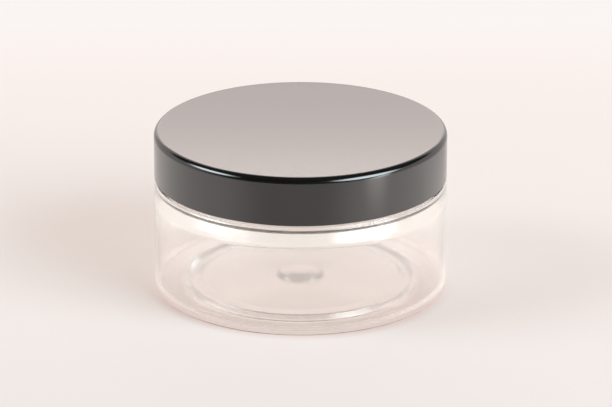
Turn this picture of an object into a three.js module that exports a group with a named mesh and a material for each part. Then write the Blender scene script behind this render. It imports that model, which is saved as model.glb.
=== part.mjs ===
// Low straight-sided cosmetic jar: a clear blow-moulded PET jar, a black screw lid and the foam liner in the lid.
// Millimetres, +Z up. The origin is the centre of the base, on the surface that the jar stands on.
import * as THREE from "three";

// Driving dimensions of the jar
const BODY_DIAMETER = 70; // straight outer wall, and the lid that stands flush above it
const BODY_WALL = 0.8;
const SHOULDER_HEIGHT = 26.5; // table to the ledge under the lid
const SHOULDER_EDGE_RADIUS = 0.6;
const LEDGE_THICKNESS = 1.1;
const TAPER_HEIGHT = 3.4; // how far below the ledge's underside the wall starts to thicken
const TAPER_GAIN = 0.95; // what the wall gains there
const LEDGE_COVE_RADIUS = 0.7; // inside corner of wall and ledge
const MOUTH_EDGE_RADIUS = 0.8; // lower edge of the bore
const NECK_HEIGHT = 9.8; // ledge to the sealing rim
const NECK_WALL = 1.6;
const NECK_ROOT_RADIUS = 0.5; // fillet where the neck rises from the ledge
const RIM_RADIUS = 0.4; // both edges of the sealing rim

// Driving dimensions of the base
const HEEL_RADIUS = 0.7; // outer bottom corner
const HEEL_COVE_RADIUS = 2.2; // inner bottom corner
const FOOT_THICKNESS = 0.75;
const FOOT_WIDTH = 4.8; // flat ring that the jar stands on, heel included
const FOOT_RISE = 0.25; // gentle start of the underside's rise, inside the foot
const FOOT_RISE_RUN = 2.3;
const PUSH_UP = 1.15; // how far the underside is raised in the middle
const PUSH_UP_SLOPE = 4.4; // radial run of the steeper part of that rise
const DISC_STEP = 1.6; // how far the thick floor disc stands above the foot ring
const DISC_SLOPE = 0.7; // radial run of the disc's side
const DISC_EDGE_RADIUS = 0.5;
const FLOOR_FALL = 0.7; // from the disc's edge down to the boss
const BOSS_DIAMETER = 11.2; // round boss left in the middle where the plastic was injected
const BOSS_HEIGHT = 1.1;
const BOSS_SLOPE = 0.6; // radial run of the boss's side
const BOSS_EDGE_RADIUS = 1.2;

// Driving dimensions of the lid
const LID_TOP_THICKNESS = 1.5;
const LID_SKIRT_WALL = 1.3;
const LID_EDGE_RADIUS = 1.45; // outer edge of the top
const LID_GAP = 0.9; // ledge to the lower edge of the skirt
const SKIRT_CHAMFER = 0.5; // lead-in inside the lower edge
const SKIRT_LIP_RADIUS = 0.25; // outer lower edge
const THREAD_ROOM = 1.5; // radial room between neck and skirt, which the thread turns fill

// Driving dimensions of the liner and its seat
const LINER_THICKNESS = 1;
const LINER_CLEARANCE = 0.3; // all round the liner in its seat
const SEAT_STEP = 0.4; // how far the seat's wall stands in from the skirt's inner wall
const BEAD_GRIP = 0.4; // how far the retaining bead reaches under the liner's edge
const BEAD_HEIGHT = 1;
const SEAT_GAP = 0.1; // between faces that press together

// Facets
const TURN_FACETS = 72;
const ARC_DIVISIONS = 2; // three.js doubles this on an arc

// Derived radii, from the outer wall inwards
const bodyRadius = BODY_DIAMETER / 2;
const cavityRadius = bodyRadius - BODY_WALL;
const skirtBoreRadius = bodyRadius - LID_SKIRT_WALL;
const neckRadius = skirtBoreRadius - THREAD_ROOM;
const mouthRadius = neckRadius - NECK_WALL;
const seatRadius = skirtBoreRadius - SEAT_STEP;
const linerRadius = seatRadius - LINER_CLEARANCE;
const beadRadius = linerRadius - BEAD_GRIP;
const taperRadius = cavityRadius - TAPER_GAIN;
const footInnerRadius = bodyRadius - FOOT_WIDTH;
const discFootRadius = footInnerRadius - FOOT_RISE_RUN;
const pushUpRadius = discFootRadius - PUSH_UP_SLOPE;
const discRadius = discFootRadius - DISC_SLOPE;
const bossRadius = BOSS_DIAMETER / 2;

// Derived heights, from the table up
const discHeight = FOOT_THICKNESS + DISC_STEP;
const floorHeight = discHeight - FLOOR_FALL;
const bossTop = floorHeight + BOSS_HEIGHT;
const ledgeUnderside = SHOULDER_HEIGHT - LEDGE_THICKNESS;
const rimHeight = SHOULDER_HEIGHT + NECK_HEIGHT;
const linerHeight = rimHeight + SEAT_GAP;
const lidHeight = SHOULDER_HEIGHT + LID_GAP; // lower edge of the skirt

const PET = new THREE.MeshStandardMaterial({
  color: 0xf1f4f3,
  roughness: 0.05,
  metalness: 0,
  transparent: true,
  opacity: 0.3,
});
const BLACK_PP = new THREE.MeshStandardMaterial({ color: 0x151517, roughness: 0.25, metalness: 0 });
const PE_FOAM = new THREE.MeshStandardMaterial({ color: 0xf3f2ee, roughness: 0.85, metalness: 0 });

// A corner of a profile: radius from the axis, height, and the fillet that rounds it
function corner(radius, height, fillet = 0) {
  return { at: new THREE.Vector2(radius, height), fillet };
}

// Draws straight runs between corners, each rounded by an arc that touches the runs on both sides
function drawCorners(path, corners) {
  corners.forEach(({ at, fillet }, i) => {
    if (i === 0) {
      path.moveTo(at.x, at.y);
      return;
    }
    if (fillet === 0 || i === corners.length - 1) {
      path.lineTo(at.x, at.y);
      return;
    }
    const into = at.clone().sub(corners[i - 1].at).normalize();
    const out = corners[i + 1].at.clone().sub(at).normalize();
    const turn = Math.acos(into.dot(out));
    const side = Math.sign(into.cross(out));
    const start = at.clone().addScaledVector(into, -fillet * Math.tan(turn / 2));
    const centre = start.clone().add(new THREE.Vector2(-into.y, into.x).multiplyScalar(side * fillet));
    const startAngle = Math.atan2(start.y - centre.y, start.x - centre.x);
    path.lineTo(start.x, start.y);
    path.absarc(centre.x, centre.y, fillet, startAngle, startAngle + side * turn, side < 0);
  });
  return path;
}

// Revolves a profile of (radius, height) about the Z axis
function revolve(path) {
  const geometry = new THREE.LatheGeometry(path.getPoints(ARC_DIVISIONS), TURN_FACETS);
  return geometry.rotateX(Math.PI / 2);
}

function piece(name, path, material, height = 0) {
  const mesh = new THREE.Mesh(revolve(path), material);
  mesh.name = name;
  mesh.position.z = height;
  return mesh;
}

// Jar: underside, outer wall, ledge, neck and rim, then down the bore, round the inside of the wall and over the floor
function jarProfile() {
  return drawCorners(new THREE.Path(), [
    corner(0, PUSH_UP),
    corner(pushUpRadius, PUSH_UP),
    corner(discFootRadius, FOOT_RISE),
    corner(footInnerRadius, 0),
    corner(bodyRadius, 0, HEEL_RADIUS),
    corner(bodyRadius, SHOULDER_HEIGHT, SHOULDER_EDGE_RADIUS),
    corner(neckRadius, SHOULDER_HEIGHT, NECK_ROOT_RADIUS),
    corner(neckRadius, rimHeight, RIM_RADIUS),
    corner(mouthRadius, rimHeight, RIM_RADIUS),
    corner(mouthRadius, ledgeUnderside, MOUTH_EDGE_RADIUS),
    corner(taperRadius, ledgeUnderside, LEDGE_COVE_RADIUS),
    corner(cavityRadius, ledgeUnderside - TAPER_HEIGHT),
    corner(cavityRadius, FOOT_THICKNESS, HEEL_COVE_RADIUS),
    corner(discFootRadius, FOOT_THICKNESS, DISC_EDGE_RADIUS),
    corner(discRadius, discHeight, DISC_EDGE_RADIUS),
    corner(bossRadius, floorHeight),
    corner(bossRadius - BOSS_SLOPE, bossTop, BOSS_EDGE_RADIUS),
    corner(0, bossTop),
  ]);
}

// Lid, from the lower edge of its skirt: under the top, liner seat, retaining bead, bore, skirt and outer edge
function lidProfile() {
  const seatRoof = linerHeight + LINER_THICKNESS + SEAT_GAP - lidHeight;
  const top = seatRoof + LID_TOP_THICKNESS;
  const beadTop = linerHeight - SEAT_GAP - lidHeight;
  const beadMiddle = beadTop - BEAD_HEIGHT / 2;
  return drawCorners(new THREE.Path(), [
    corner(0, seatRoof),
    corner(seatRadius, seatRoof),
    corner(seatRadius, beadTop),
    corner(beadRadius, beadMiddle),
    corner(skirtBoreRadius, beadTop - BEAD_HEIGHT),
    corner(skirtBoreRadius, SKIRT_CHAMFER),
    corner(skirtBoreRadius + SKIRT_CHAMFER, 0),
    corner(bodyRadius, 0, SKIRT_LIP_RADIUS),
    corner(bodyRadius, top, LID_EDGE_RADIUS),
    corner(0, top),
  ]);
}

// Liner: a plain wad cut from foam sheet, from its lower face
function linerProfile() {
  return drawCorners(new THREE.Path(), [
    corner(0, 0),
    corner(linerRadius, 0),
    corner(linerRadius, LINER_THICKNESS),
    corner(0, LINER_THICKNESS),
  ]);
}

const closure = new THREE.Group();
closure.add(piece("screw_lid", lidProfile(), BLACK_PP, lidHeight));
closure.add(piece("lid_liner", linerProfile(), PE_FOAM, linerHeight));

const cosmeticJar = new THREE.Group();
cosmeticJar.add(piece("jar_body", jarProfile(), PET), closure);

export default cosmeticJar;
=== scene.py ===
# %% [markdown]
# A low cosmetic jar
#
# The object is a clear plastic jar for cream, 70 mm across, with a black screw lid as wide as the jar and a
# foam liner inside the lid. Every piece is round, so each one is a flat section turned about the Z axis. The
# look rests on clear plastic: what the eye sees inside the jar is light bent by the section's steps, tapers
# and fillets. The section is therefore modelled as carefully as the outside.

import math

import bpy
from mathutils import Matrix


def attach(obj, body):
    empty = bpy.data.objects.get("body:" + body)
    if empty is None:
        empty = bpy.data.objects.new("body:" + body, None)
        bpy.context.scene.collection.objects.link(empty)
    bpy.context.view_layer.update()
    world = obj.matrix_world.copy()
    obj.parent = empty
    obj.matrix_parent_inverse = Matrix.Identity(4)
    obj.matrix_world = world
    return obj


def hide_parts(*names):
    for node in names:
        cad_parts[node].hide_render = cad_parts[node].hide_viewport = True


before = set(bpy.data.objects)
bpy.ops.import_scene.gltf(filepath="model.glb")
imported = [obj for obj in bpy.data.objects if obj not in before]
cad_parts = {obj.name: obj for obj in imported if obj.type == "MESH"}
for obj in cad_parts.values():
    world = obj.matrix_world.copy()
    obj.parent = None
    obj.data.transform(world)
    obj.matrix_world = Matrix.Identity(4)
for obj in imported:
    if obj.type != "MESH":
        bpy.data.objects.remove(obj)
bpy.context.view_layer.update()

# %% [markdown]
# The section's corners
#
# A moulded part has no truly sharp corner, and a small fillet catches light where a sharp one doesn't. A
# section is written as corners, each with its radius from the axis, its height and its fillet, in
# millimetres. The arcs could be made by a Bevel modifier, but then large flat faces would share bent normals
# with the narrow fillets beside them, and clear plastic would show that as a smear. Here each straight run
# gets a point just inside both ends instead. These points hold the normals of the run straight.

# %% Round the corners of a section
MM = 0.001  # a millimetre in metres, which are Blender's units
HOLD = 0.06  # from the end of a straight run to its held point
SHORTEST_HELD = 5 * HOLD  # shorter runs have no held points
ARC_STEP = math.radians(9)  # largest turn between two points of an arc
FEWEST_STEPS = 4  # of an arc


def fillet_arc(before, at, after, radius):
    """Points of the arc that rounds one corner of a section."""
    into = math.atan2(at[1] - before[1], at[0] - before[0])
    out = math.atan2(after[1] - at[1], after[0] - at[0])
    turn = (out - into + math.pi) % (2 * math.pi) - math.pi
    side = math.copysign(1, turn)
    reach = radius * math.tan(abs(turn) / 2)
    start = (at[0] - reach * math.cos(into), at[1] - reach * math.sin(into))
    centre = (start[0] - side * radius * math.sin(into), start[1] + side * radius * math.cos(into))
    steps = max(FEWEST_STEPS, math.ceil(abs(turn) / ARC_STEP))
    points = []
    for step in range(steps + 1):
        angle = into - side * math.pi / 2 + turn * step / steps
        points.append((centre[0] + radius * math.cos(angle), centre[1] + radius * math.sin(angle)))
    return points


def section_points(corners):
    """The section as points: straight runs with held ends, and arcs at the corners that have a fillet."""
    runs = []
    for index, (radius, height, fillet) in enumerate(corners):
        if fillet:
            runs.append(fillet_arc(corners[index - 1], (radius, height), corners[index + 1], fillet))
        else:
            runs.append([(radius, height)])
    points = list(runs[0])
    for run in runs[1:]:
        (r0, z0), (r1, z1) = points[-1], run[0]
        length = math.hypot(r1 - r0, z1 - z0)
        if length > SHORTEST_HELD:
            for share in (HOLD / length, 1 - HOLD / length):
                points.append((r0 + (r1 - r0) * share, z0 + (z1 - z0) * share))
        points.extend(run)
    return points


# %% [markdown]
# A lathe made of nodes
#
# A jar, a lid and a liner follow the same rule: a section goes once round the axis. The Screw modifier does
# that too, but the neck and the lid also carry a screw thread, and a thread is a rule as well: the wall
# stands out where its height matches the turn. One Geometry Nodes tree does both. It makes a flat grid with
# one column for each step of the turn and one row for each point of the section, reads each row's radius and
# height from the section, adds the thread's ridge to the radius, and wraps the grid round the axis. Merging
# closes the seam and the poles.

# %% One function that adds a node
def add_node(tree, kind, inputs=None, **settings):
    """Adds a node, sets its properties and fills its inputs: a socket is linked, a plain value typed in."""
    node = tree.nodes.new(kind)
    for name, value in settings.items():
        setattr(node, name, value)
    for key, value in (inputs or {}).items():
        if isinstance(value, bpy.types.NodeSocket):
            tree.links.new(value, node.inputs[key])
        else:
            node.inputs[key].default_value = value
    return node


# %% The lathe's inputs
lathe = bpy.data.node_groups.new("turned_section", "GeometryNodeTree")
lathe.interface.new_socket("Turned piece", in_out="OUTPUT", socket_type="NodeSocketGeometry")
lathe_inputs = {
    "Section": "Geometry",
    "Steps round": "Int",
    "Thread wall radius": "Float",
    "Thread foot": "Float",
    "Pitch": "Float",
    "Turns": "Float",
    "Ridge height": "Float",
    "Ridge half width": "Float",
    "Crest half width": "Float",
    "Finish": "Material",
}
for name, kind in lathe_inputs.items():
    lathe.interface.new_socket(name, in_out="INPUT", socket_type="NodeSocket" + kind)
given = add_node(lathe, "NodeGroupInput").outputs
print("lathe:", len(lathe_inputs), "inputs")

# %% Grid, section and turn
rows = add_node(
    lathe, "GeometryNodeAttributeDomainSize", {"Geometry": given["Section"]}
).outputs["Point Count"]
columns = add_node(lathe, "ShaderNodeMath", {0: given["Steps round"], 1: 1.0}, operation="ADD").outputs[0]
grid = add_node(
    lathe, "GeometryNodeMeshGrid", {"Vertices X": columns, "Vertices Y": rows}
).outputs["Mesh"]
index = add_node(lathe, "GeometryNodeInputIndex").outputs[0]
column = add_node(lathe, "ShaderNodeMath", {0: index, 1: rows}, operation="DIVIDE").outputs[0]
column = add_node(lathe, "ShaderNodeMath", {0: column}, operation="FLOOR").outputs[0]
row = add_node(lathe, "ShaderNodeMath", {0: index, 1: rows}, operation="MODULO").outputs[0]
place = add_node(lathe, "GeometryNodeInputPosition").outputs[0]
point = add_node(
    lathe,
    "GeometryNodeSampleIndex",
    {"Geometry": given["Section"], "Value": place, "Index": row},
    data_type="FLOAT_VECTOR",
).outputs[0]
point = add_node(lathe, "ShaderNodeSeparateXYZ", {0: point}).outputs
turn = add_node(
    lathe, "ShaderNodeMath", {0: column, 1: given["Steps round"]}, operation="DIVIDE"
).outputs[0]
print("lathe: grid of", len(lathe.nodes), "nodes so far")

# %% [markdown]
# The thread's rule
#
# A right-hand thread climbs one pitch for each turn. At any point of the wall, the height above the thread's
# foot in pitches, less the share of the turn, is a whole number exactly on the ridge's middle line. What is
# left after rounding is the distance from that line, and the whole number says which turn it is. The ridge's
# flanks and its two run-outs are smooth steps of these two numbers. Only points on the threaded wall itself
# move.

# %% Thread ridge added to the radius
RUN_OUT = 0.07  # share of a turn over which the ridge rises from the wall at either end
ON_WALL = 0.02 * MM  # a point this close to the wall's radius counts as on it

climb = add_node(
    lathe, "ShaderNodeMath", {0: point["Z"], 1: given["Thread foot"]}, operation="SUBTRACT"
).outputs[0]
climb = add_node(lathe, "ShaderNodeMath", {0: climb, 1: given["Pitch"]}, operation="DIVIDE").outputs[0]
climb = add_node(lathe, "ShaderNodeMath", {0: climb, 1: turn}, operation="SUBTRACT").outputs[0]
whole = add_node(lathe, "ShaderNodeMath", {0: climb}, operation="ROUND").outputs[0]
off_line = add_node(lathe, "ShaderNodeMath", {0: climb, 1: whole}, operation="SUBTRACT").outputs[0]
off_line = add_node(
    lathe, "ShaderNodeMath", {0: off_line, 1: given["Pitch"]}, operation="MULTIPLY"
).outputs[0]
off_line = add_node(lathe, "ShaderNodeMath", {0: off_line}, operation="ABSOLUTE").outputs[0]
along = add_node(lathe, "ShaderNodeMath", {0: turn, 1: whole}, operation="ADD").outputs[0]
left = add_node(lathe, "ShaderNodeMath", {0: given["Turns"], 1: along}, operation="SUBTRACT").outputs[0]
flank = add_node(
    lathe,
    "ShaderNodeMapRange",
    {"Value": off_line, "From Min": given["Ridge half width"], "From Max": given["Crest half width"]},
    interpolation_type="SMOOTHSTEP",
).outputs[0]
on_wall = add_node(
    lathe,
    "ShaderNodeMath",
    {0: point["X"], 1: given["Thread wall radius"], 2: ON_WALL},
    operation="COMPARE",
).outputs[0]
run_in, run_out = [
    add_node(
        lathe,
        "ShaderNodeMapRange",
        {"Value": to_end, "From Max": RUN_OUT},
        interpolation_type="SMOOTHSTEP",
    ).outputs[0]
    for to_end in (along, left)
]
ridge = run_in
for share in (run_out, flank, on_wall):
    ridge = add_node(lathe, "ShaderNodeMath", {0: ridge, 1: share}, operation="MULTIPLY").outputs[0]
radius = add_node(
    lathe,
    "ShaderNodeMath",
    {0: ridge, 1: given["Ridge height"], 2: point["X"]},
    operation="MULTIPLY_ADD",
).outputs[0]
print("lathe:", len(lathe.nodes), "nodes with the thread")

# %% Wrap the grid and close it
SEAM = 0.001 * MM  # points closer than this are merged

angle = add_node(lathe, "ShaderNodeMath", {0: turn, 1: 2 * math.pi}, operation="MULTIPLY").outputs[0]
cosine = add_node(lathe, "ShaderNodeMath", {0: angle}, operation="COSINE").outputs[0]
sine = add_node(lathe, "ShaderNodeMath", {0: angle}, operation="SINE").outputs[0]
wrapped = add_node(
    lathe,
    "ShaderNodeCombineXYZ",
    {
        "X": add_node(lathe, "ShaderNodeMath", {0: radius, 1: cosine}, operation="MULTIPLY").outputs[0],
        "Y": add_node(lathe, "ShaderNodeMath", {0: radius, 1: sine}, operation="MULTIPLY").outputs[0],
        "Z": point["Z"],
    },
).outputs[0]
mesh = add_node(lathe, "GeometryNodeSetPosition", {"Geometry": grid, "Position": wrapped}).outputs[0]
mesh = add_node(lathe, "GeometryNodeMergeByDistance", {"Geometry": mesh, "Distance": SEAM}).outputs[0]
mesh = add_node(lathe, "GeometryNodeSetShadeSmooth", {"Geometry": mesh}).outputs[0]
mesh = add_node(lathe, "GeometryNodeRealizeInstances", {"Geometry": mesh}).outputs[0]
mesh = add_node(
    lathe, "GeometryNodeSetMaterial", {"Geometry": mesh, "Material": given["Finish"]}
).outputs[0]
add_node(lathe, "NodeGroupOutput", {"Turned piece": mesh})
print("lathe:", len(lathe.nodes), "nodes in all")

# %% Turn a section into a plain mesh
NO_THREAD = {"Pitch": 1.0}  # without a thread, the rule still divides by a pitch


def turn_piece(name, corners, finish, steps, thread=NO_THREAD):
    """Runs a section through the lathe tree and keeps the result as a plain mesh."""
    points = [(r * MM, 0, z * MM) for r, z in section_points(corners)]
    line = bpy.data.meshes.new(name + "_section")
    line.from_pydata(points, [(i, i + 1) for i in range(len(points) - 1)], [])
    piece = bpy.data.objects.new(name, line)
    bpy.context.collection.objects.link(piece)
    modifier = piece.modifiers.new("lathe", "NODES")
    modifier.node_group = lathe
    values = {"Steps round": steps, "Finish": finish, **thread}
    for socket in lathe.interface.items_tree:
        if socket.in_out == "INPUT" and socket.name in values:
            modifier[socket.identifier] = values[socket.name]
    turned = piece.evaluated_get(bpy.context.evaluated_depsgraph_get())
    mesh = bpy.data.meshes.new_from_object(turned)
    mesh.materials.pop(index=0)  # the empty slot of the grid, before the finish
    piece.modifiers.remove(modifier)
    piece.data = mesh
    mesh.name = name
    bpy.data.meshes.remove(line)
    triangles = sum(len(face.vertices) - 2 for face in mesh.polygons)
    print(name, len(points), "section points,", triangles, "triangles")
    return piece


# %% [markdown]
# Clear PET
#
# The jar is stretch-blown PET: clear, glossy, with an IOR of 1.575. It is never quite as perfect as glass.
# Its blown walls are faintly hazy and wavy, which blurs what is seen through them and softens the edges of
# reflections. One noise, in the size of those waves, drives both the roughness and a very shallow bump. The
# waves are longer along the axis, the way the plastic was stretched. A plain Glass shader would do for the
# rest, but the Principled one keeps all three finishes alike. Light that enters the thick floor is thrown
# back and forth inside it before it leaves. Cycles gives up after four such bounces and shows black, so more
# bounces are allowed here.

# %% Colours and new finishes
def linear(code):
    """An sRGB hex colour as linear RGBA."""
    parts = [int(code[i:i + 2], 16) / 255 for i in (1, 3, 5)]
    return (*[p / 12.92 if p <= 0.04045 else ((p + 0.055) / 1.055) ** 2.4 for p in parts], 1.0)


def new_finish(name):
    """A node material and its Principled shader."""
    finish = bpy.data.materials.new(name)
    finish.use_nodes = True
    return finish, finish.node_tree, finish.node_tree.nodes["Principled BSDF"]


# %% The PET finish
PET_IOR = 1.575
WALL_WAVE = 14.0  # millimetres from crest to crest round the wall
WAVE_DEPTH = 0.012  # millimetres
STRETCH = (1.0, 1.0, 0.4)  # scale of the waves: smaller, so longer, along the axis
NOISE_LOW = 0.3  # a noise rarely leaves the range from here
NOISE_HIGH = 0.7  # to here
PET_CLEAREST = 0.07  # roughness
PET_HAZIEST = 0.11  # roughness
MOST_BOUNCES = 24  # of any kind
PLASTIC_BOUNCES = 16  # off and through plastic

pet, tree, shader = new_finish("clear_blown_pet")
shader.inputs["Base Color"].default_value = linear("#fefcfa")
shader.inputs["IOR"].default_value = PET_IOR
shader.inputs["Transmission Weight"].default_value = 1.0
spot = add_node(tree, "ShaderNodeTexCoord").outputs["Object"]
spot = add_node(tree, "ShaderNodeMapping", {"Vector": spot, "Scale": STRETCH}).outputs[0]
waves = add_node(
    tree, "ShaderNodeTexNoise", {"Vector": spot, "Scale": 1 / (WALL_WAVE * MM), "Detail": 1.0}
).outputs[0]
gloss = add_node(
    tree,
    "ShaderNodeMapRange",
    {
        "Value": waves,
        "From Min": NOISE_LOW,
        "From Max": NOISE_HIGH,
        "To Min": PET_CLEAREST,
        "To Max": PET_HAZIEST,
    },
).outputs[0]
tree.links.new(gloss, shader.inputs["Roughness"])
bump = add_node(
    tree, "ShaderNodeBump", {"Height": waves, "Strength": 0.5, "Distance": WAVE_DEPTH * MM}
).outputs[0]
tree.links.new(bump, shader.inputs["Normal"])
light_paths = bpy.context.scene.cycles
light_paths.max_bounces = MOST_BOUNCES
light_paths.glossy_bounces = PLASTIC_BOUNCES
light_paths.transmission_bounces = PLASTIC_BOUNCES
print("finish:", pet.name)

# %% [markdown]
# Black polypropylene
#
# The lid is injection-moulded polypropylene, black all through and polished on the outside. Polished PP keeps
# a faint orange peel from the cooling skin, about a millimetre across, so its highlights are clear but
# soft-edged. One even roughness would look like glass. A fine noise drives the roughness and a shallow bump
# instead, and a broad one the small drift in colour that a moulding has. Plain PP has an IOR of 1.49. A
# higher one stands in for the polished skin, whose gloss reads stronger.

# %% The lid's finish
POLISHED_IOR = 1.68
PEEL = 1.2  # millimetres across
PEEL_DEPTH = 0.002  # millimetres
DRIFT = 25.0  # millimetres across
PP_SMOOTHEST = 0.10  # roughness
PP_ROUGHEST = 0.15  # roughness

black_pp, tree, shader = new_finish("polished_black_pp")
shader.inputs["IOR"].default_value = POLISHED_IOR
spot = add_node(tree, "ShaderNodeTexCoord").outputs["Object"]
peel = add_node(
    tree, "ShaderNodeTexNoise", {"Vector": spot, "Scale": 1 / (PEEL * MM), "Detail": 2.0}
).outputs[0]
drift = add_node(
    tree, "ShaderNodeTexNoise", {"Vector": spot, "Scale": 1 / (DRIFT * MM), "Detail": 1.0}
).outputs[0]
shade = add_node(tree, "ShaderNodeValToRGB", {"Fac": drift})
shade.color_ramp.elements[0].position = NOISE_LOW
shade.color_ramp.elements[0].color = linear("#0e0c0b")
shade.color_ramp.elements[1].position = NOISE_HIGH
shade.color_ramp.elements[1].color = linear("#131110")
tree.links.new(shade.outputs[0], shader.inputs["Base Color"])
gloss = add_node(
    tree,
    "ShaderNodeMapRange",
    {
        "Value": peel,
        "From Min": NOISE_LOW,
        "From Max": NOISE_HIGH,
        "To Min": PP_SMOOTHEST,
        "To Max": PP_ROUGHEST,
    },
).outputs[0]
tree.links.new(gloss, shader.inputs["Roughness"])
bump = add_node(
    tree, "ShaderNodeBump", {"Height": peel, "Strength": 0.3, "Distance": PEEL_DEPTH * MM}
).outputs[0]
tree.links.new(bump, shader.inputs["Normal"])
print("finish:", black_pp.name)

# %% [markdown]
# Polyethylene foam
#
# The liner is cut from closed-cell polyethylene foam sheet. Its faces are matt, with cells about a third of a
# millimetre across. Noise would give lumps without walls between them, so Voronoi cells are used. They give
# both the dimples and the slightly darker cell walls. They are drawn at 0.6 mm so that they show in a view of
# the open lid.

# %% The liner's finish
FOAM_ROUGHNESS = 0.85
CELL = 0.6  # millimetres across
CELL_DEPTH = 0.08  # millimetres

foam, tree, shader = new_finish("white_pe_foam")
shader.inputs["Roughness"].default_value = FOAM_ROUGHNESS
spot = add_node(tree, "ShaderNodeTexCoord").outputs["Object"]
cells = add_node(
    tree, "ShaderNodeTexVoronoi", {"Vector": spot, "Scale": 1 / (CELL * MM)}
).outputs["Distance"]
shade = add_node(tree, "ShaderNodeValToRGB", {"Fac": cells})
shade.color_ramp.elements[0].color = linear("#f6f4ee")
shade.color_ramp.elements[1].color = linear("#dedad0")
tree.links.new(shade.outputs[0], shader.inputs["Base Color"])
bump = add_node(
    tree, "ShaderNodeBump", {"Height": cells, "Strength": 0.5, "Distance": CELL_DEPTH * MM}
).outputs[0]
tree.links.new(bump, shader.inputs["Normal"])
print("finish:", foam.name)

# %% [markdown]
# The jar
#
# The section runs from the middle of the raised underside, out to the standing ring, up the wall, over the
# ledge and the threaded neck, and back down inside. A shell with a Solidify modifier would be quicker, but it
# would be equally thick everywhere, and four differences in thickness make the picture. The wall is thin, so
# it nearly vanishes. Below the ledge it thickens gently, like a prism, and shows the bright surroundings as a
# pale band under the lid. The floor is a thick disc inside a thin ring, and its steep edge shows as a grey
# ellipse. In the middle stands the low boss where the plastic was injected, faintly domed, and its edge
# catches two glints. The neck's wall has a row every 0.16 mm, which the thread needs to follow its ridge.

# %% Sizes of the wall and the neck, in millimetres
BODY = 35.0  # radius of the straight wall and of the lid
BODY_WALL = 0.8
LEDGE = 26.5  # height of the ledge under the lid
LEDGE_THICKNESS = 1.1
LEDGE_EDGE = 0.6  # fillet
LEDGE_COVE = 0.7  # fillet under the ledge
TAPER_HEIGHT = 3.4  # how far below the underside of the ledge the wall starts to thicken
TAPER_GAIN = 0.95  # what the wall gains there
TAPER_BEND = 6.0  # fillet where it starts
SKIRT_WALL = 1.3  # of the lid
THREAD_ROOM = 1.5  # between the neck and the lid's bore
NECK_HEIGHT = 9.8  # from the ledge to the rim
NECK_WALL = 1.6
NECK_ROOT = 0.5  # fillet
RIM_EDGE = 0.4  # fillet
MOUTH_EDGE = 0.8  # fillet at the lower end of the mouth

bore = BODY - SKIRT_WALL
neck = bore - THREAD_ROOM
mouth = neck - NECK_WALL
cavity = BODY - BODY_WALL
rim = LEDGE + NECK_HEIGHT
ledge_underside = LEDGE - LEDGE_THICKNESS
print("neck", round(2 * neck, 2), "mm across, rim", round(rim, 2), "mm up")

# %% Sizes of the base, in millimetres
HEEL = 0.5  # fillet
HEEL_COVE = 2.2  # fillet inside
FOOT_THICKNESS = 0.75
FOOT_WIDTH = 4.8  # of the ring that the jar stands on
FOOT_EDGE = 0.3  # fillet
FOOT_RISE = 0.25  # gentle start of the rise inside the foot
FOOT_RISE_RUN = 2.3
FOOT_RISE_BEND = 1.5  # fillet
PUSH_UP = 1.15  # how far the underside is raised in the middle
PUSH_UP_RUN = 4.4
PUSH_UP_BEND = 3.0  # fillet
DISC_STEP = 1.6  # how far the floor disc stands above the foot
DISC_RUN = 0.63
DISC_EDGE = 0.5  # fillet above and below its side
FLOOR_FALL = 0.7  # from the disc's edge down to the boss
BOSS = 5.6  # radius
BOSS_ROOT = 0.2  # fillet
BOSS_SIDE = 0.95  # height
BOSS_RUN = 0.6
BOSS_EDGE = 0.6  # fillet
DOME = 2.5  # radius of the dome's flatter middle
DOME_RISE = 0.35  # from the boss's edge to that middle
DOME_BEND = 1.0  # fillet
CROWN_RISE = 0.05  # from there to the axis

foot_inside = BODY - FOOT_WIDTH
disc_foot = foot_inside - FOOT_RISE_RUN
disc_top = FOOT_THICKNESS + DISC_STEP
floor_middle = disc_top - FLOOR_FALL
boss_shoulder = floor_middle + BOSS_SIDE
dome_shoulder = boss_shoulder + DOME_RISE
print("floor", round(floor_middle - PUSH_UP, 2), "to", round(disc_top - FOOT_RISE, 2), "mm thick")

# %% The thread's sizes, in millimetres
WALL_ROW = 0.16
ROW_MARGIN = 0.6  # least room between the last row and the end of the wall
NECK_ROWS_RISE = 0.7  # from the ledge to the first row
PITCH = 4.0
NECK_TURNS = 1.0
THREAD_RISE = 4.3  # from the ledge to the start of the ridge's middle line
RIDGE_HEIGHT = 0.9
RIDGE_HALF_WIDTH = 0.85
CREST_HALF_WIDTH = 0.3

neck_thread = {
    "Thread wall radius": neck * MM,
    "Thread foot": (LEDGE + THREAD_RISE) * MM,
    "Pitch": PITCH * MM,
    "Turns": NECK_TURNS,
    "Ridge height": RIDGE_HEIGHT * MM,
    "Ridge half width": RIDGE_HALF_WIDTH * MM,
    "Crest half width": CREST_HALF_WIDTH * MM,
}


def wall_rows(radius, start, end):
    """Rows of a threaded wall, from a start height towards the end of the wall."""
    way = math.copysign(1, end - start)
    count = math.floor((abs(end - start) - ROW_MARGIN) / WALL_ROW)
    return [(radius, start + way * WALL_ROW * step, 0) for step in range(count + 1)]


neck_rows = wall_rows(neck, LEDGE + NECK_ROWS_RISE, rim)
print("neck:", len(neck_rows), "rows")

# %% Jar section
JAR_STEPS = 384  # round the axis

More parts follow.
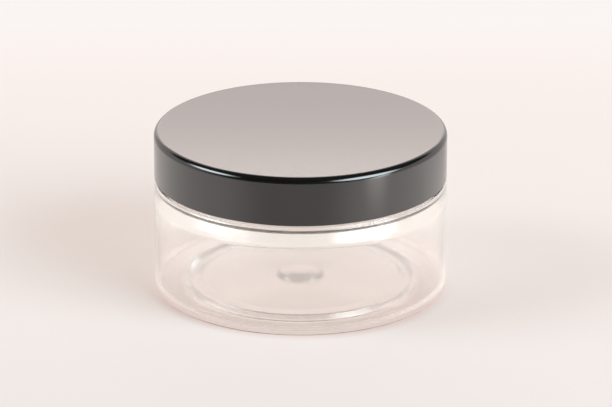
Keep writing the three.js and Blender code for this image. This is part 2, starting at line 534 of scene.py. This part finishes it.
jar_corners = [
    (0, PUSH_UP, 0),
    (disc_foot - PUSH_UP_RUN, PUSH_UP, PUSH_UP_BEND),
    (disc_foot, FOOT_RISE, FOOT_RISE_BEND),
    (foot_inside, 0, FOOT_EDGE),
    (BODY, 0, HEEL),
    (BODY, LEDGE, LEDGE_EDGE),
    (neck, LEDGE, NECK_ROOT),
    *neck_rows,
    (neck, rim, RIM_EDGE),
    (mouth, rim, RIM_EDGE),
    (mouth, ledge_underside, MOUTH_EDGE),
    (cavity - TAPER_GAIN, ledge_underside, LEDGE_COVE),
    (cavity, ledge_underside - TAPER_HEIGHT, TAPER_BEND),
    (cavity, FOOT_THICKNESS, HEEL_COVE),
    (disc_foot, FOOT_THICKNESS, DISC_EDGE),
    (disc_foot - DISC_RUN, disc_top, DISC_EDGE),
    (BOSS, floor_middle, BOSS_ROOT),
    (BOSS - BOSS_RUN, boss_shoulder, BOSS_EDGE),
    (DOME, dome_shoulder, DOME_BEND),
    (0, dome_shoulder + CROWN_RISE, 0),
]
jar = turn_piece("clear_jar", jar_corners, pet, JAR_STEPS, neck_thread)
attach(jar, "jar")
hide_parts("jar_body")

# %% [markdown]
# The lid
#
# The lid's outside is a plain cup: a flat top, a rounded edge and a straight skirt. Inside it has the seat of
# the liner, a bead that keeps the liner from falling out, and the other half of the thread. A cylinder with a
# bevel would give the outside alone, but the inside shows when the lid is up, so the lid is turned from its
# section as well. Its ridge lies half a pitch below the jar's, in its groove, so that the two slide past each
# other when the lid turns.

# %% Sizes of the lid and the liner, in millimetres
LID_GAP = 0.9  # from the ledge to the skirt
LID_TOP_THICKNESS = 1.5
LID_EDGE = 1.45  # fillet of the top's outer edge
LIP = 0.25  # fillet of the skirt's outer lower edge
CHAMFER = 0.5  # inside the skirt's lower edge
LINER_THICKNESS = 1.0
LINER_ROOM = 0.3  # round the liner in its seat
LINER_EDGE = 0.12  # fillet
SEAT_GAP = 0.1  # between faces that press together
SEAT_STEP = 0.4  # from the bore in to the seat's wall
SEAT_COVE = 0.2  # fillet
BEAD_GRIP = 0.4  # how far the bead reaches under the liner
BEAD_HEIGHT = 1.0
BEAD_CREST = 0.2  # fillet
SOFT_EDGE = 0.15  # fillet of the other edges inside
BORE_ROWS_DROP = 0.3  # from the bead down to the first row

skirt_foot = LEDGE + LID_GAP
liner_foot = rim + SEAT_GAP
liner_top = liner_foot + LINER_THICKNESS
seat_roof = liner_top + SEAT_GAP
lid_top = seat_roof + LID_TOP_THICKNESS
seat = bore - SEAT_STEP
liner_radius = seat - LINER_ROOM
bead_top = liner_foot - SEAT_GAP
bead_foot = bead_top - BEAD_HEIGHT
bore_rows = wall_rows(bore, bead_foot - BORE_ROWS_DROP, skirt_foot)
print("lid", round(lid_top - skirt_foot, 2), "mm tall, bore:", len(bore_rows), "rows")

# %% Lid section and thread
LID_TURNS = 1.15
LID_STEPS = 320  # round the axis

lid_corners = [
    (0, seat_roof, 0),
    (seat, seat_roof, SEAT_COVE),
    (seat, bead_top, SOFT_EDGE),
    (liner_radius - BEAD_GRIP, bead_top - BEAD_HEIGHT / 2, BEAD_CREST),
    (bore, bead_foot, SOFT_EDGE),
    *bore_rows,
    (bore, skirt_foot + CHAMFER, SOFT_EDGE),
    (bore + CHAMFER, skirt_foot, SOFT_EDGE),
    (BODY, skirt_foot, LIP),
    (BODY, lid_top, LID_EDGE),
    (0, lid_top, 0),
]
lid_thread = {
    **neck_thread,
    "Thread wall radius": bore * MM,
    "Thread foot": (LEDGE + THREAD_RISE - PITCH / 2) * MM,
    "Turns": LID_TURNS,
    "Ridge height": -RIDGE_HEIGHT * MM,
}
lid = turn_piece("threaded_lid", lid_corners, black_pp, LID_STEPS, lid_thread)
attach(lid, "lid")
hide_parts("screw_lid")

# %% [markdown]
# The liner
#
# The liner is a plain round wad. A punch cuts it from sheet and leaves its edge barely rounded. A cylinder
# would nearly do, but the lathe is at hand and gives the soft edge.

# %% Liner section
LINER_STEPS = 192  # round the axis

liner_corners = [
    (0, liner_foot, 0),
    (liner_radius, liner_foot, LINER_EDGE),
    (liner_radius, liner_top, LINER_EDGE),
    (0, liner_top, 0),
]
liner = turn_piece("foam_liner", liner_corners, foam, LINER_STEPS)
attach(liner, "liner")
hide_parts("lid_liner")

# %% [markdown]
# The table
#
# The jar stands on a pale, slightly pink surface. Cycles sends no lamp light straight through clear plastic
# to the table, so the table under a clear jar would render nearly black. In life it is almost as bright as
# the rest. Many more samples would find some of that light by chance, but slowly. The table therefore shows
# part of its colour by itself to the camera and in glossy and clear plastic, most of it under the jar, as
# painted light. The other part is plain matt colour that takes the jar's shadow. The shade that the clear
# foot leaves is painted into the colour it shows by itself: a little darker under the front half of the jar,
# darker still under the front of the foot, and a narrow painted contact shadow in front of the foot. That
# colour is darker and warmer near the camera and paler behind, painted light for the fall and colour of the
# light across the table. Behind the jar the table is nearly white to rays that come through clear plastic,
# painted light where the jar's dark shadow would fall. The foot sits 0.02 mm into the surface, as a part
# that touches it does.

# %% Table
TABLE_REACH = 3.0  # metres to either side and to the back
TABLE_FRONT = 0.45  # metres
FOOT_SINK = 0.02 * MM

table_corners = [
    (-TABLE_REACH, -TABLE_FRONT, FOOT_SINK),
    (TABLE_REACH, -TABLE_FRONT, FOOT_SINK),
    (TABLE_REACH, TABLE_REACH, FOOT_SINK),
    (-TABLE_REACH, TABLE_REACH, FOOT_SINK),
]
table_mesh = bpy.data.meshes.new("table")
table_mesh.from_pydata(table_corners, [], [(0, 1, 2, 3)])
table = bpy.data.objects.new("table", table_mesh)
bpy.context.collection.objects.link(table)
print("table at", table_mesh.vertices[0].co.z, "m")

# %% Regions of the table
PAPER_ROUGHNESS = 0.9

paper, tree, shader = new_finish("pale_paper")
shader.inputs["Base Color"].default_value = linear("#ecebec")
shader.inputs["Roughness"].default_value = PAPER_ROUGHNESS
shader.inputs["Specular IOR Level"].default_value = 0.0
spot = add_node(tree, "ShaderNodeTexCoord").outputs["Object"]
depth = add_node(tree, "ShaderNodeSeparateXYZ", {0: spot}).outputs["Y"]
far = add_node(tree, "ShaderNodeVectorMath", {0: spot}, operation="LENGTH").outputs["Value"]
rays = add_node(tree, "ShaderNodeLightPath").outputs
# Each region: what is measured, and the millimetres where its edge starts and where it is full
soft_edges = {
    "outside the jar": (far, 33.5, 36.0),
    "foot": (far, 27.0, 30.0),
    "rim": (far, 38.5, 34.8),
    "front half": (depth, 26.0, -19.0),
    "front": (depth, 2.0, -22.0),
    "back": (depth, 23.0, 41.0),
}
region = {}
for name, (measure, start, full) in soft_edges.items():
    region[name] = add_node(
        tree,
        "ShaderNodeMapRange",
        {"Value": measure, "From Min": start * MM, "From Max": full * MM},
        interpolation_type="SMOOTHSTEP",
    ).outputs[0]
# The painted contact shadow at the rim is for camera rays alone; the painted light behind the jar is for rays
# through clear plastic
limits = [
    ("foot", region["front half"]),
    ("rim", region["front"]),
    ("rim", rays["Is Camera Ray"]),
    ("back", rays["Is Transmission Ray"]),
]
for name, limit in limits:
    region[name] = add_node(
        tree, "ShaderNodeMath", {0: region[name], 1: limit}, operation="MULTIPLY"
    ).outputs[0]
print("table:", ", ".join(region))

# %% Colours of the table
PALE_FRONT = -100.0  # millimetres from the jar's middle, where the table is darkest
PALE_MIDDLE = 20.0
PALE_BACK = 200.0
FACTOR = 0  # sockets of a Mix node that mixes colours
COLOUR_A = 6
COLOUR_B = 7
RESULT = 2

# The ramp paints the fall and colour of the light across the table: darker and warmer near the camera, paler
# behind the jar
across = add_node(
    tree,
    "ShaderNodeMapRange",
    {"Value": depth, "From Min": PALE_FRONT * MM, "From Max": PALE_BACK * MM},
).outputs[0]
around = add_node(tree, "ShaderNodeValToRGB", {"Fac": across})
around.color_ramp.elements[0].color = linear("#eed0c0")
around.color_ramp.elements[1].color = linear("#fff7f4")
middle = around.color_ramp.elements.new((PALE_MIDDLE - PALE_FRONT) / (PALE_BACK - PALE_FRONT))
middle.color = linear("#ffe6d7")
# Painted shade and light: darker under the front half of the jar and under the front of the foot, a painted
# contact shadow at the rim, and painted light behind the jar
layers = [
    ("front half", linear("#faebe6")),
    ("foot", linear("#decec8")),
    ("outside the jar", around.outputs[0]),
    ("back", linear("#fff9f4")),
    ("rim", linear("#e6beac")),
]
colour = linear("#fff5f0")
for name, layer in layers:
    colour = add_node(
        tree,
        "ShaderNodeMix",
        {FACTOR: region[name], COLOUR_A: colour, COLOUR_B: layer},
        data_type="RGBA",
    ).outputs[RESULT]
print("table:", len(layers), "layers of colour")

# %% How much of its colour the table shows by itself
SHARE_FROM = 20.0  # millimetres from the jar's middle towards the back
SHARE_TO = 170.0
SHARE_NEAR = 0.48
SHARE_FAR = 0.86
SHARE_UNDER_JAR = 0.98

open_share = add_node(
    tree,
    "ShaderNodeMapRange",
    {
        "Value": depth,
        "From Min": SHARE_FROM * MM,
        "From Max": SHARE_TO * MM,
        "To Min": SHARE_NEAR,
        "To Max": SHARE_FAR,
    },
).outputs[0]
share = add_node(
    tree,
    "ShaderNodeMapRange",
    {"Value": region["outside the jar"], "To Min": SHARE_UNDER_JAR, "To Max": open_share},
).outputs[0]
# Behind the jar the table shows its painted light in full to rays through clear plastic, hiding the jar's
# shadow there
share = add_node(tree, "ShaderNodeMath", {0: share, 1: region["back"]}, operation="MAXIMUM").outputs[0]
seen = rays["Is Camera Ray"]
for kind in ("Is Glossy Ray", "Is Transmission Ray"):
    seen = add_node(tree, "ShaderNodeMath", {0: seen, 1: rays[kind]}, operation="MAXIMUM").outputs[0]
share = add_node(tree, "ShaderNodeMath", {0: share, 1: seen}, operation="MULTIPLY").outputs[0]
glow = add_node(tree, "ShaderNodeEmission", {"Color": colour}).outputs[0]
mixed = add_node(tree, "ShaderNodeMixShader", {0: share, 1: shader.outputs[0], 2: glow}).outputs[0]
tree.links.new(mixed, tree.nodes["Material Output"].inputs["Surface"])
table_mesh.materials.append(paper)
print("finish:", paper.name)

# %% [markdown]
# Studio light
#
# Black plastic shows the studio. The lid's rounded edge stays black, so the studio is dark overhead, while
# its flat top mirrors a pale card just behind the jar, which is brighter towards its lower edge. Two soft
# boxes stand left and right, a little cool, and leave the blue glints on the lid's edge. They fade outwards,
# so the glints have soft ends. The right one is larger, so the soft shadow lies to the left. A low card at
# the right carries its glint down to the skirt. Two weak pools and a streak of light on the table, seen in
# gloss alone, lift the sides of the skirt. The surroundings are pale low down, higher straight behind the
# jar, dim above and dark behind the camera. A picture of a studio could stand in for all this, but lamps and
# a few nodes can be set one by one. To rays that come through the clear plastic the back is grey: steep faces
# inside it, such as the edge of the floor disc and the side of the boss, mirror it and show as grey lines.
# The camera itself sees the surroundings pale everywhere.

# %% Surroundings
# Places are parts of a look direction of length 1, upwards for the first two and backwards for the others
PALE_TO = 0.40
DIM_FROM = 0.50
LIFT = 0.26  # how much higher the surroundings are pale straight behind the jar
LIFT_FROM = 0.60
LIFT_FULL = 0.75
FRONT_STRENGTH = 0.06  # behind the camera
FRONT_FULL = -0.6
FRONT_END = 0.1
GREY_STRENGTH = 0.6  # of the back, through clear plastic
GREY_FROM = 0.1
GREY_FULL = 0.5
NUMBER_A = 2  # sockets of a Mix node that mixes numbers
NUMBER_B = 3

world = bpy.data.worlds.new("studio")
bpy.context.scene.world = world
world.use_nodes = True
tree = world.node_tree
sky = tree.nodes["Background"]
rays = add_node(tree, "ShaderNodeLightPath").outputs
look = add_node(tree, "ShaderNodeTexCoord").outputs["Generated"]
look = add_node(tree, "ShaderNodeSeparateXYZ", {0: look}).outputs
backward_parts = {
    "lift": (LIFT_FROM, LIFT_FULL, 0.0, LIFT),
    "strength": (FRONT_FULL, FRONT_END, FRONT_STRENGTH, 1.0),
    "grey": (GREY_FROM, GREY_FULL, 1.0, GREY_STRENGTH),
}
part = {}
for name, (start, end, low, high) in backward_parts.items():
    part[name] = add_node(
        tree,
        "ShaderNodeMapRange",
        {"Value": look["Y"], "From Min": start, "From Max": end, "To Min": low, "To Max": high},
        interpolation_type="SMOOTHSTEP",
    ).outputs[0]
height = add_node(tree, "ShaderNodeMath", {0: look["Z"], 1: part["lift"]}, operation="SUBTRACT").outputs[0]
ramp = add_node(tree, "ShaderNodeValToRGB", {"Fac": height})
ramp.color_ramp.elements[0].position = PALE_TO
ramp.color_ramp.elements[0].color = linear("#fff6f3")
ramp.color_ramp.elements[1].position = DIM_FROM
ramp.color_ramp.elements[1].color = linear("#3c3c3c")
tree.links.new(ramp.outputs[0], sky.inputs["Color"])
grey = add_node(
    tree,
    "ShaderNodeMix",
    {FACTOR: rays["Is Transmission Ray"], NUMBER_A: 1.0, NUMBER_B: part["grey"]},
).outputs[0]
strength = add_node(tree, "ShaderNodeMath", {0: part["strength"], 1: grey}, operation="MULTIPLY").outputs[0]
tree.links.new(strength, sky.inputs["Strength"])
wall = add_node(tree, "ShaderNodeBackground", {"Color": linear("#fcf4f2")}).outputs[0]
mixed = add_node(
    tree, "ShaderNodeMixShader", {0: rays["Is Camera Ray"], 1: sky.outputs[0], 2: wall}
).outputs[0]
tree.links.new(mixed, tree.nodes["World Output"].inputs["Surface"])
pale_angle = math.degrees(math.asin(PALE_TO + LIFT))
print("surroundings pale up to", round(pale_angle), "degrees behind the jar")

# %% Kinds of lamp
MIDDLE = (0.5, 0.5, 0.0)  # of a lamp's face
FLAT = (1.0, 1.0, 0.0)  # keeps the two coordinates of the face
EDGE = 0.5  # from the middle of a face to its edge
FULL_TO = 0.2  # a soft box is fully bright up to here


def area_lamp(name, place, turned, width, height, radiance, colour):
    """A rectangular lamp of a given radiance, unseen by the camera."""
    lamp = bpy.data.lights.new(name, "AREA")
    lamp.shape = "RECTANGLE"
    lamp.size = width
    lamp.size_y = height
    lamp.energy = radiance * math.pi * width * height
    lamp.color = linear(colour)[:3]
    lamp.use_nodes = True
    box = bpy.data.objects.new(name, lamp)
    box.location = place
    box.rotation_euler = turned
    box.visible_camera = False
    bpy.context.collection.objects.link(box)
    return box


def soft_box(*lamp):
    """An area lamp that fades towards its edges."""
    box = area_lamp(*lamp)
    tree = box.data.node_tree
    spot = add_node(tree, "ShaderNodeNewGeometry").outputs["Parametric"]
    spot = add_node(tree, "ShaderNodeVectorMath", {0: spot, 1: MIDDLE}, operation="SUBTRACT").outputs[0]
    spot = add_node(tree, "ShaderNodeVectorMath", {0: spot, 1: FLAT}, operation="MULTIPLY").outputs[0]
    out = add_node(tree, "ShaderNodeVectorMath", {0: spot}, operation="LENGTH").outputs["Value"]
    fade = add_node(
        tree,
        "ShaderNodeMapRange",
        {"Value": out, "From Min": EDGE, "From Max": FULL_TO},
        interpolation_type="SMOOTHSTEP",
    ).outputs[0]
    tree.links.new(fade, tree.nodes["Emission"].inputs["Strength"])
    return box


def stand_beside(bearing, rise, distance):
    """Place and turn of a lamp that faces the jar. The bearing is from the front, positive to the right."""
    b = math.radians(bearing)
    e = math.radians(rise)
    level = distance * math.cos(e)
    place = (level * math.sin(b), -level * math.cos(b), distance * math.sin(e))
    return place, (math.pi / 2 - e, 0, b)


# %% Soft boxes
COOL = "#ecfaff"
BOX_DISTANCE = 1.1  # metres
BOX_RADIANCE = 11.0

# Each box: bearing and rise in degrees, width and height in metres
side_boxes = {"left_box": (-80, 36, 0.95, 0.6), "right_box": (55, 30, 1.3, 0.95)}
for name, (bearing, rise, width, height) in side_boxes.items():
    soft_box(name, *stand_beside(bearing, rise, BOX_DISTANCE), width, height, BOX_RADIANCE, COOL)
print("soft boxes:", ", ".join(side_boxes))

# %% Card behind the jar, brighter towards its lower edge
WARM = "#fff2ec"
CARD_PLACE = (0, 0.062, 0.063)  # metres
CARD_TURN = (-math.pi / 2, 0, 0)
CARD_WIDTH = 0.15  # metres
CARD_HEIGHT = 0.032  # metres
CARD_RADIANCE = 3.1
CARD_CURVE = 2.2  # how late it brightens on the way down
CARD_TOP = 0.41  # share of the radiance at the upper edge
CARD_BOTTOM = 0.95  # and at the lower edge
SIDE_FULL_TO = 0.3  # of its width, from the middle to where it starts to fade

card = area_lamp("back_card", CARD_PLACE, CARD_TURN, CARD_WIDTH, CARD_HEIGHT, CARD_RADIANCE, WARM)
tree = card.data.node_tree
spot = add_node(tree, "ShaderNodeNewGeometry").outputs["Parametric"]
spot = add_node(tree, "ShaderNodeSeparateXYZ", {0: spot}).outputs
low = add_node(tree, "ShaderNodeMath", {0: 1.0, 1: spot["Y"]}, operation="SUBTRACT").outputs[0]
low = add_node(tree, "ShaderNodeMath", {0: low, 1: CARD_CURVE}, operation="POWER").outputs[0]
low = add_node(
    tree, "ShaderNodeMapRange", {"Value": low, "To Min": CARD_TOP, "To Max": CARD_BOTTOM}
).outputs[0]
side = add_node(tree, "ShaderNodeMath", {0: spot["X"], 1: MIDDLE[0]}, operation="SUBTRACT").outputs[0]
side = add_node(tree, "ShaderNodeMath", {0: side}, operation="ABSOLUTE").outputs[0]
side = add_node(
    tree,
    "ShaderNodeMapRange",
    {"Value": side, "From Min": EDGE, "From Max": SIDE_FULL_TO},
    interpolation_type="SMOOTHSTEP",
).outputs[0]
low = add_node(tree, "ShaderNodeMath", {0: low, 1: side}, operation="MULTIPLY").outputs[0]
tree.links.new(low, tree.nodes["Emission"].inputs["Strength"])
print("card", round(card.location.y, 3), "m behind the jar's middle")

# %% Low lights for the gloss, which light no matt surface
LOW_CARD_BEARING = 63  # degrees
LOW_CARD_RISE = 4  # degrees
LOW_CARD_DISTANCE = 0.45  # metres
LOW_CARD_SIZE = (0.15, 0.12)  # metres
LOW_CARD_RADIANCE = 7.0
NEUTRAL = "#fff8f5"

low_place = stand_beside(LOW_CARD_BEARING, LOW_CARD_RISE, LOW_CARD_DISTANCE)
low_card = soft_box("low_card", *low_place, *LOW_CARD_SIZE, LOW_CARD_RADIANCE, COOL)
low_card.visible_diffuse = False
# Each pool: place, width and length in metres, bearing in degrees and radiance
pools = {
    "left_pool": ((-0.12, -0.02, 0.001), 0.22, 0.28, 0, 0.5),
    "right_pool": ((0.115, -0.04, 0.001), 0.22, 0.28, 0, 0.7),
    "right_streak": ((0.225, -0.142, 0.002), 0.09, 0.36, 62, 4.5),
}
for name, (place, width, length, bearing, radiance) in pools.items():
    facing_up = (math.pi, 0, math.radians(bearing))
    pool = soft_box(name, place, facing_up, width, length, radiance, NEUTRAL)
    pool.visible_diffuse = False
    pool.visible_transmission = False

# %% [markdown]
# Camera
#
# The photograph looks down by about 21 degrees from some 0.9 m, with a long lens that keeps the two rims
# nearly parallel. The jar stands a little left of the middle. Turning the camera would tilt the jar's sides a
# little, so a small lens shift moves it instead.

# %% Camera
DISTANCE = 0.9  # metres
LOOK_DOWN = math.radians(20.86)
AIM_HEIGHT = 0.019  # metres
SENSOR = 36  # millimetres
FOCAL_PIXELS = 3746  # the lens's focal length in pixels of the photograph
PHOTO_WIDTH = 612  # pixels
JAR_MIDDLE = 300.5  # pixels from the left of the photograph
AIM_DROP = 3  # pixels below the middle of the picture

lens = bpy.data.cameras.new("camera")
lens.sensor_width = SENSOR
lens.lens = FOCAL_PIXELS * SENSOR / PHOTO_WIDTH
lens.shift_x = (PHOTO_WIDTH / 2 - JAR_MIDDLE) / PHOTO_WIDTH
lens.shift_y = AIM_DROP / PHOTO_WIDTH
camera = bpy.data.objects.new("camera", lens)
camera.location = (0, -DISTANCE * math.cos(LOOK_DOWN), AIM_HEIGHT + DISTANCE * math.sin(LOOK_DOWN))
camera.rotation_euler = (math.pi / 2 - LOOK_DOWN, 0, 0)
bpy.context.collection.objects.link(camera)
bpy.context.scene.camera = camera
bpy.context.scene.view_settings.view_transform = "Standard"
print("lens", round(lens.lens, 1), "mm")
